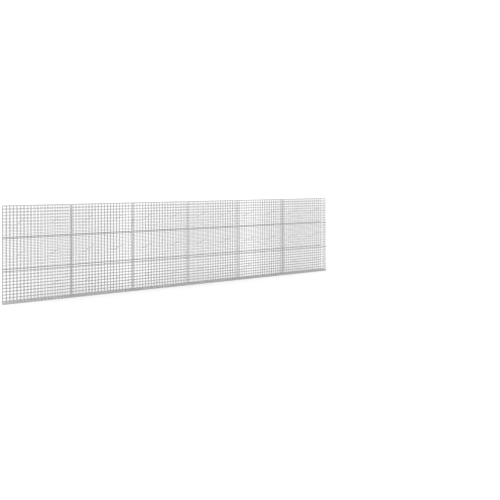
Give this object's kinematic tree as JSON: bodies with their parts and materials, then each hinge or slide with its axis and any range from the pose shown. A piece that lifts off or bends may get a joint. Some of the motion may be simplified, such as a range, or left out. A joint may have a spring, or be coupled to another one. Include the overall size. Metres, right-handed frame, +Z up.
{
  "type": "gabion wall",
  "caption": "Free-standing gabion wall of welded wire mesh, empty and open at the top, with partitions between its bays and spacer ties.",
  "frame": {"origin": "middle of the wall's footprint, on the ground", "axes": "+X along the wall, +Y from the front mesh to the back mesh, +Z up"},
  "size_m": [6.016, 0.242, 1.524],
  "materials": {
    "mesh_wire": "hot-dip galvanised wire, dull grey",
    "tie_wire": "galvanised tie wire, dull grey"
  },
  "bodies": {
    "root": {"front_uprights_tier_1": "mesh_wire", "front_line_wires_tier_1": "mesh_wire", "back_uprights_tier_1": "mesh_wire", "back_line_wires_tier_1": "mesh_wire", "spacer_ties_tier_1": "tie_wire", "front_uprights_tier_2": "mesh_wire", "front_line_wires_tier_2": "mesh_wire", "back_uprights_tier_2": "mesh_wire", "back_line_wires_tier_2": "mesh_wire", "spacer_ties_tier_2": "tie_wire", "front_uprights_tier_3": "mesh_wire", "front_line_wires_tier_3": "mesh_wire", "back_uprights_tier_3": "mesh_wire", "back_line_wires_tier_3": "mesh_wire", "spacer_ties_tier_3": "tie_wire", "partition_1_uprights": "mesh_wire", "partition_1_cross_wires": "mesh_wire", "partition_2_uprights": "mesh_wire", "partition_2_cross_wires": "mesh_wire", "partition_3_uprights": "mesh_wire", "partition_3_cross_wires": "mesh_wire", "partition_4_uprights": "mesh_wire", "partition_4_cross_wires": "mesh_wire", "partition_5_uprights": "mesh_wire", "partition_5_cross_wires": "mesh_wire", "right_end_uprights": "mesh_wire", "right_end_cross_wires": "mesh_wire", "base_long_wires": "mesh_wire", "base_cross_wires": "mesh_wire"}
  },
  "joints": []
}
